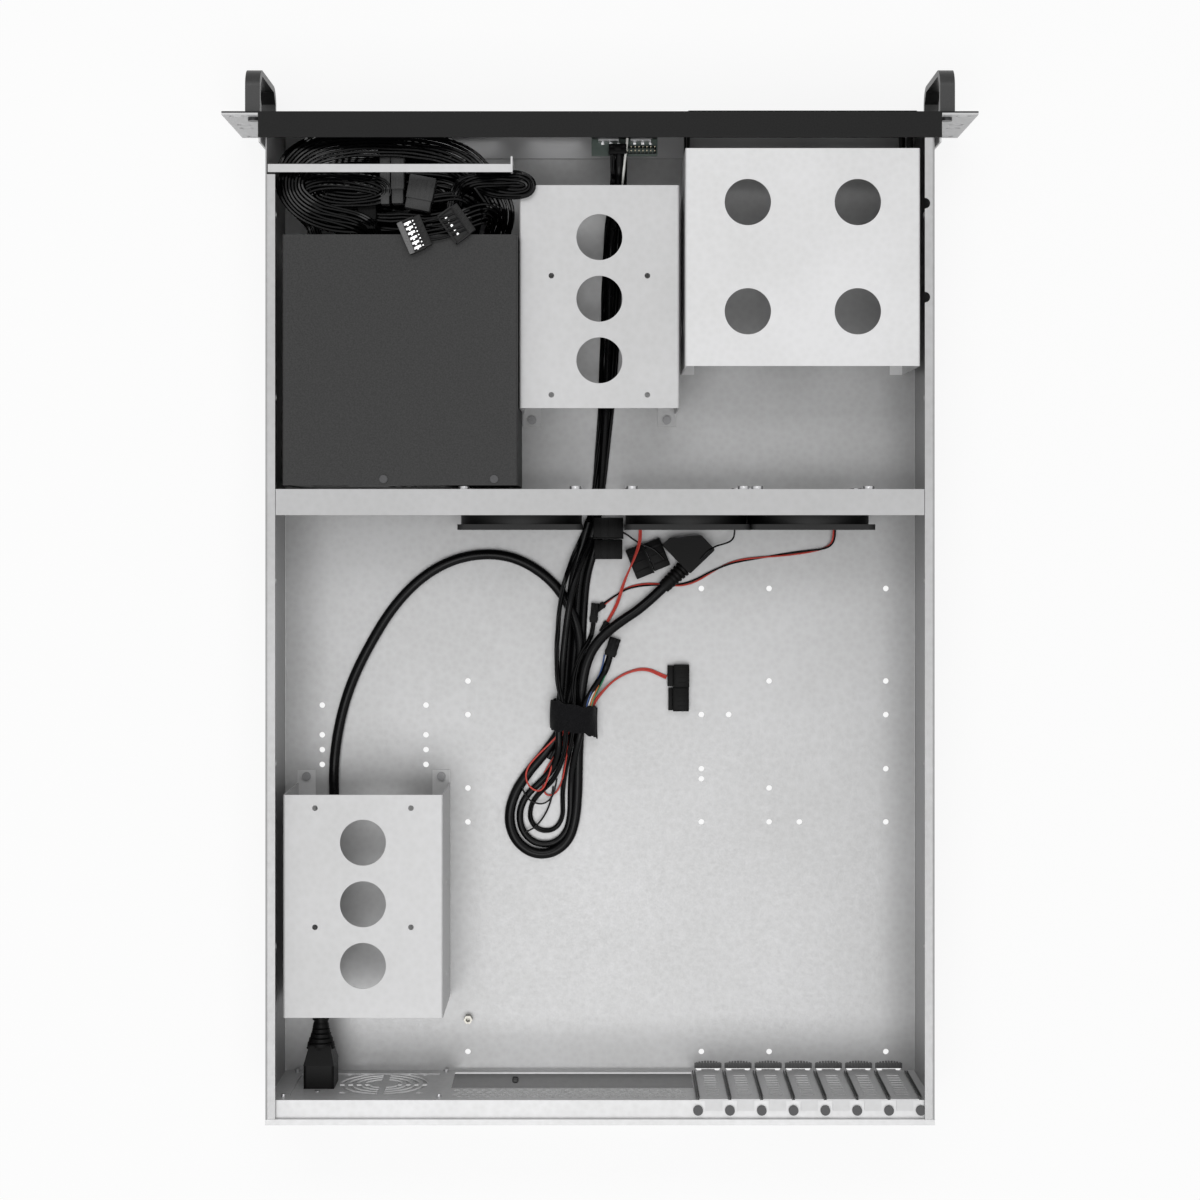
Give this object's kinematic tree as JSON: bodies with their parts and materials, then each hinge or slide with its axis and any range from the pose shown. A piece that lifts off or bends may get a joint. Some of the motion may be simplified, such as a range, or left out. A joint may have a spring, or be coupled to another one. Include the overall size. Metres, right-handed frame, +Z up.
{
  "type": "rackmount server case",
  "caption": "Low rack-mount server case with its cover off: sheet tray, front panel with handles, fan wall, drive cages, power supply and tied cables.",
  "frame": {"origin": "middle of the case's footprint over its handles and ears, on the underside of the tray", "axes": "+Z up out of the open top, +Y from the front panel to the rear wall, +X to the power supply side"},
  "size_m": [0.4826, 0.6758, 0.0881],
  "materials": {
    "galvanised_sheet": "spangled zinc coat, satin",
    "slot_cover_sheet": "zinc plated, satin",
    "black_paint": "fine textured black powder coat",
    "handle_paint": "satin black anodised look",
    "supply_paint": "matt dark grey paint",
    "zinc_screw": "bright zinc",
    "black_screw": "dull steel",
    "black_plastic": "fine moulded grain",
    "pale_plastic": "moulded",
    "fan_frame_plastic": "moulded",
    "fan_rotor_plastic": "moulded",
    "circuit_board": "solder mask",
    "socket_shell": "bright plated",
    "lamp_lens": "clear lens",
    "brass_standoff": "turned",
    "cord_sheath": "matt flexible sheath",
    "fan_lead_sheath": "thin flexible sheath",
    "strap_weave": "hook-and-loop weave"
  },
  "bodies": {
    "case": {"bay_cage": "galvanised_sheet", "bay_cover_lower": "black_plastic", "bay_cover_upper": "black_plastic", "board_standoff": "brass_standoff", "button_switches": "circuit_board", "cable_strap": "strap_weave", "cage_screws": "zinc_screw", "chassis_tray": "galvanised_sheet", "drive_cage_front": "galvanised_sheet", "drive_cage_rear": "galvanised_sheet", "drive_lead": "fan_lead_sheath", "drive_plugs": "pale_plastic", "ear_bracket_left": "galvanised_sheet", "ear_bracket_right": "galvanised_sheet", "fan_frame_1": "fan_frame_plastic", "fan_frame_2": "fan_frame_plastic", "fan_frame_3": "fan_frame_plastic", "fan_lead_2": "fan_lead_sheath", "fan_lead_3": "fan_lead_sheath", "fan_plugs": "black_plastic", "fan_screws": "black_screw", "fan_wall": "galvanised_sheet", "front_panel": "black_paint", "handle_left": "handle_paint", "handle_right": "handle_paint", "handle_screws": "zinc_screw", "header_plugs": "black_plastic", "io_board": "circuit_board", "io_bracket": "galvanised_sheet", "panel_cable": "cord_sheath", "plate_screws": "zinc_screw", "power_cord": "cord_sheath", "power_inlet": "black_plastic", "power_plug": "black_plastic", "psu_housing": "supply_paint", "psu_inlet": "black_plastic", "psu_rail": "galvanised_sheet", "psu_screws": "zinc_screw", "rear_panel": "galvanised_sheet", "rear_plate": "galvanised_sheet", "slot_cover_1": "slot_cover_sheet", "slot_cover_2": "slot_cover_sheet", "slot_cover_3": "slot_cover_sheet", "slot_cover_4": "slot_cover_sheet", "slot_cover_5": "slot_cover_sheet", "slot_cover_6": "slot_cover_sheet", "slot_cover_7": "slot_cover_sheet", "slot_screws": "zinc_screw", "status_leds": "lamp_lens", "supply_coil": "cord_sheath", "supply_hank": "cord_sheath", "supply_loops": "cord_sheath", "supply_plugs": "pale_plastic", "switch_leads": "cord_sheath", "usb_ports": "socket_shell"},
    "rotor_1": {"fan_rotor_1": "fan_rotor_plastic"},
    "rotor_2": {"fan_rotor_2": "fan_rotor_plastic"},
    "rotor_3": {"fan_rotor_3": "fan_rotor_plastic"},
    "power_button_body": {"power_button": "black_plastic"},
    "reset_button_body": {"reset_button": "black_plastic"}
  },
  "joints": [
    {"name": "fan_1_spin", "type": "hinge", "parent": "case", "child": "rotor_1", "pos_m": [0.0515, -0.05425, 0.0424], "axis": [0, 1, 0], "continuous": true},
    {"name": "fan_2_spin", "type": "hinge", "parent": "case", "child": "rotor_2", "pos_m": [-0.0563, -0.05425, 0.0424], "axis": [0, 1, 0], "continuous": true},
    {"name": "fan_3_spin", "type": "hinge", "parent": "case", "child": "rotor_3", "pos_m": [-0.1366, -0.05425, 0.0424], "axis": [0, 1, 0], "continuous": true},
    {"name": "power_button_press", "type": "slide", "parent": "case", "child": "power_button_body", "axis": [0, 1, 0], "range_m": [0, 0.0015], "stiffness_N_per_m": 400, "springref_m": -0.001},
    {"name": "reset_button_press", "type": "slide", "parent": "case", "child": "reset_button_body", "axis": [0, 1, 0], "range_m": [0, 0.0015], "stiffness_N_per_m": 400, "springref_m": -0.001}
  ]
}
